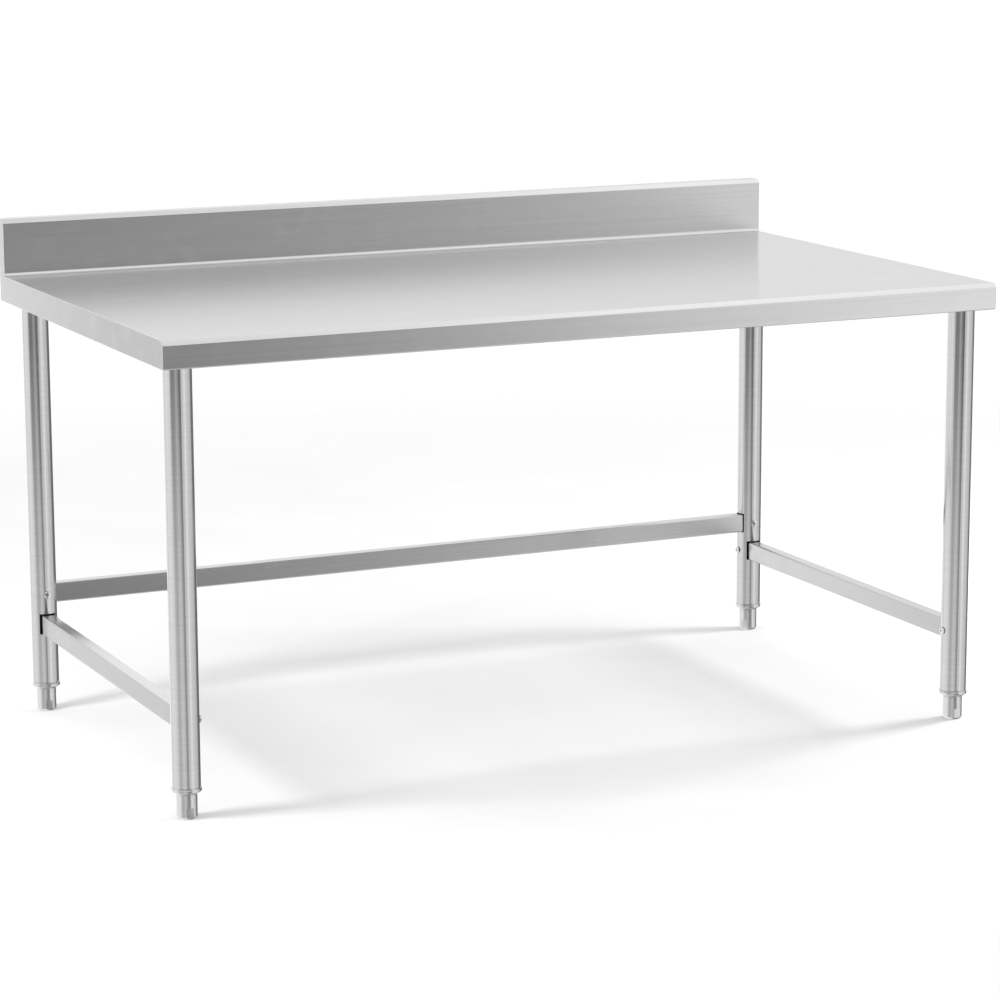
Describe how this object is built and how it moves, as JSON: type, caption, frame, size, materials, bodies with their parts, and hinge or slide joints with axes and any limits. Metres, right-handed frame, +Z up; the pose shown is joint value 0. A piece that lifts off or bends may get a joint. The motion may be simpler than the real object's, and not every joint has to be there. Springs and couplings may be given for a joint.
{
  "type": "stainless work table",
  "caption": "Stainless steel work table with a raised back edge, round legs braced by low stretchers and screw-adjusted feet.",
  "frame": {"origin": "centre of the footprint on the floor, under the middle of the table", "axes": "+X along the table to the right as seen from the front, +Y to the back where the splashback stands, +Z up"},
  "size_m": [1.65, 0.95, 0.96],
  "materials": {
    "worktop": "brushed, grain along the table",
    "tube": "satin, grain along the tube",
    "underframe": "mill finish, dull",
    "foot": "fine satin",
    "screw": "bright",
    "fastener": "plain machined"
  },
  "bodies": {
    "frame": {"worktop_sheet": "worktop", "splash_end_cap_left": "worktop", "splash_end_cap_right": "worktop", "cross_channel_left": "underframe", "cross_channel_right": "underframe", "centre_channel": "underframe", "leg_front_left": "tube", "leg_socket_front_left": "underframe", "set_screw_front_left": "fastener", "leg_front_right": "tube", "leg_socket_front_right": "underframe", "set_screw_front_right": "fastener", "leg_back_left": "tube", "leg_socket_back_left": "underframe", "set_screw_back_left": "fastener", "leg_back_right": "tube", "leg_socket_back_right": "underframe", "set_screw_back_right": "fastener", "side_stretcher_left": "tube", "side_stretcher_right": "tube", "back_stretcher": "tube", "side_screw_front_left": "screw", "side_screw_front_right": "screw", "side_screw_back_left": "screw", "side_screw_back_right": "screw", "back_screw_back_left": "screw", "back_screw_back_right": "screw", "foot_insert_front_left": "foot", "foot_insert_front_right": "foot", "foot_insert_back_left": "foot", "foot_insert_back_right": "foot"},
    "stud_front_left": {"foot_stud_front_left": "fastener"},
    "cup_front_left": {"foot_cup_front_left": "foot"},
    "stud_front_right": {"foot_stud_front_right": "fastener"},
    "cup_front_right": {"foot_cup_front_right": "foot"},
    "stud_back_left": {"foot_stud_back_left": "fastener"},
    "cup_back_left": {"foot_cup_back_left": "foot"},
    "stud_back_right": {"foot_stud_back_right": "fastener"},
    "cup_back_right": {"foot_cup_back_right": "foot"}
  },
  "joints": [
    {"name": "foot_travel_front_left", "type": "slide", "parent": "frame", "child": "stud_front_left", "axis": [0, 0, -1], "range_m": [0, 0.024]},
    {"name": "foot_turn_front_left", "type": "hinge", "parent": "stud_front_left", "child": "cup_front_left", "pos_m": [-0.782, -0.423, 0], "axis": [0, 0, -1], "range_deg": [0, 4320]},
    {"name": "foot_travel_front_right", "type": "slide", "parent": "frame", "child": "stud_front_right", "axis": [0, 0, -1], "range_m": [0, 0.024]},
    {"name": "foot_turn_front_right", "type": "hinge", "parent": "stud_front_right", "child": "cup_front_right", "pos_m": [0.782, -0.423, 0], "axis": [0, 0, -1], "range_deg": [0, 4320]},
    {"name": "foot_travel_back_left", "type": "slide", "parent": "frame", "child": "stud_back_left", "axis": [0, 0, -1], "range_m": [0, 0.024]},
    {"name": "foot_turn_back_left", "type": "hinge", "parent": "stud_back_left", "child": "cup_back_left", "pos_m": [-0.782, 0.395, 0], "axis": [0, 0, -1], "range_deg": [0, 4320]},
    {"name": "foot_travel_back_right", "type": "slide", "parent": "frame", "child": "stud_back_right", "axis": [0, 0, -1], "range_m": [0, 0.024]},
    {"name": "foot_turn_back_right", "type": "hinge", "parent": "stud_back_right", "child": "cup_back_right", "pos_m": [0.782, 0.395, 0], "axis": [0, 0, -1], "range_deg": [0, 4320]}
  ],
  "couplings": [
    {"joint": "foot_turn_front_left", "follows": "foot_travel_front_left", "rad_per_m": 3141.5},
    {"joint": "foot_turn_front_right", "follows": "foot_travel_front_right", "rad_per_m": 3141.5},
    {"joint": "foot_turn_back_left", "follows": "foot_travel_back_left", "rad_per_m": 3141.5},
    {"joint": "foot_turn_back_right", "follows": "foot_travel_back_right", "rad_per_m": 3141.5}
  ]
}
